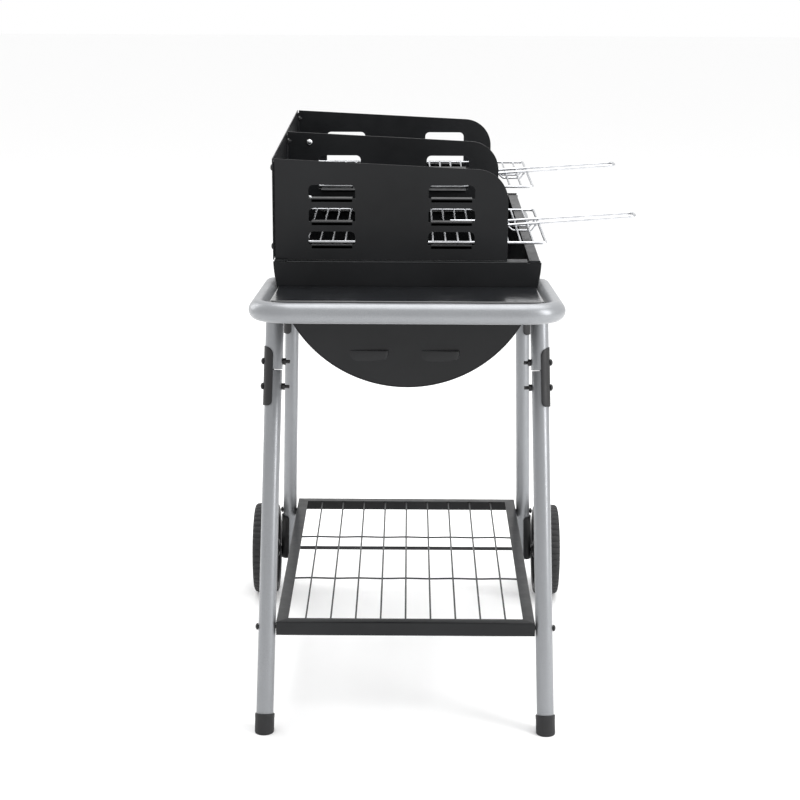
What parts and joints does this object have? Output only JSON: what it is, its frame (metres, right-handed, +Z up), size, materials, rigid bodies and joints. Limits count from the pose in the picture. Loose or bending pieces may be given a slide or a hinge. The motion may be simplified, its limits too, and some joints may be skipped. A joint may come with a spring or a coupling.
{
  "type": "charcoal barbecue trolley",
  "caption": "Open half-barrel charcoal barbecue on a wheeled tubular trolley, with a partitioned windshield, handled wire grids, a side shelf and a lower wire shelf.",
  "frame": {"origin": "middle of the whole object's footprint, on the floor", "axes": "+X towards the cook's open side, where the grids slide out; +Y from the handle and side shelf towards the wheels; +Z up"},
  "size_m": [0.5936, 0.9306, 0.83],
  "materials": {
    "silver_paint": "satin silver powder coat",
    "black_enamel": "semi-gloss black heat-resistant paint",
    "shelf_enamel": "glossy black paint",
    "black_plastic": "fine-grained black moulding",
    "wheel_plastic": "black blow-moulded wheel",
    "chrome_wire": "bright plated wire",
    "grate_steel": "dark plated wire",
    "shelf_wire": "satin black coated wire",
    "black_bolts": "blackened fasteners",
    "bright_screws": "zinc-plated screws",
    "axle_steel": "black coated rod"
  },
  "bodies": {
    "trolley": {"front_frame": "silver_paint", "rear_frame": "silver_paint", "front_leg_left": "silver_paint", "front_leg_right": "silver_paint", "rear_leg_left": "silver_paint", "rear_leg_right": "silver_paint", "foot_cap_left": "black_plastic", "foot_cap_right": "black_plastic", "front_joint_cover_left": "black_plastic", "front_joint_cover_right": "black_plastic", "rear_joint_cover_left": "black_plastic", "rear_joint_cover_right": "black_plastic", "joint_bolts": "black_bolts", "joint_nuts": "black_bolts", "side_shelf": "shelf_enamel", "side_shelf_screws": "black_bolts", "bowl_shell": "black_enamel", "bowl_front_end": "black_enamel", "bowl_rear_end": "black_enamel", "bowl_rivets": "black_bolts", "bowl_mount_bolts": "black_bolts", "bowl_mount_nuts": "black_bolts", "bowl_spacers": "black_bolts", "charcoal_grate": "grate_steel", "lower_shelf_frame": "black_enamel", "lower_shelf_wires": "shelf_wire", "lower_shelf_bolts": "black_bolts", "lower_shelf_nuts": "black_bolts", "axle": "axle_steel", "axle_bracket_left": "black_plastic", "axle_bracket_right": "black_plastic", "axle_spacers": "black_bolts"},
    "left_wheel": {"wheel_left": "wheel_plastic", "hub_cap_left": "black_plastic"},
    "right_wheel": {"wheel_right": "wheel_plastic", "hub_cap_right": "black_plastic"},
    "windshield": {"windshield_back": "black_enamel", "windshield_front_panel": "black_enamel", "windshield_middle_front_sheet": "black_enamel", "windshield_middle_rear_sheet": "black_enamel", "windshield_rear_panel": "black_enamel", "windshield_bolts": "black_bolts", "windshield_nuts": "black_bolts", "partition_screws": "bright_screws"},
    "front_cooking_grid": {"front_grid": "chrome_wire", "front_grid_handle": "chrome_wire"},
    "rear_cooking_grid": {"rear_grid": "chrome_wire", "rear_grid_handle": "chrome_wire"}
  },
  "joints": [
    {"name": "left_wheel_spin", "type": "hinge", "parent": "trolley", "child": "left_wheel", "pos_m": [-0.27575, 0.331, 0.0775], "axis": [1, 0, 0], "continuous": true},
    {"name": "right_wheel_spin", "type": "hinge", "parent": "trolley", "child": "right_wheel", "pos_m": [0.20725, 0.331, 0.0775], "axis": [1, 0, 0], "continuous": true},
    {"name": "windshield_lift", "type": "slide", "parent": "trolley", "child": "windshield", "axis": [0, 0, 1], "range_m": [0, 0.15]},
    {"name": "front_grid_slide", "type": "slide", "parent": "windshield", "child": "front_cooking_grid", "axis": [1, 0, 0], "range_m": [0, 0.3]},
    {"name": "rear_grid_slide", "type": "slide", "parent": "windshield", "child": "rear_cooking_grid", "axis": [1, 0, 0], "range_m": [0, 0.3]}
  ]
}
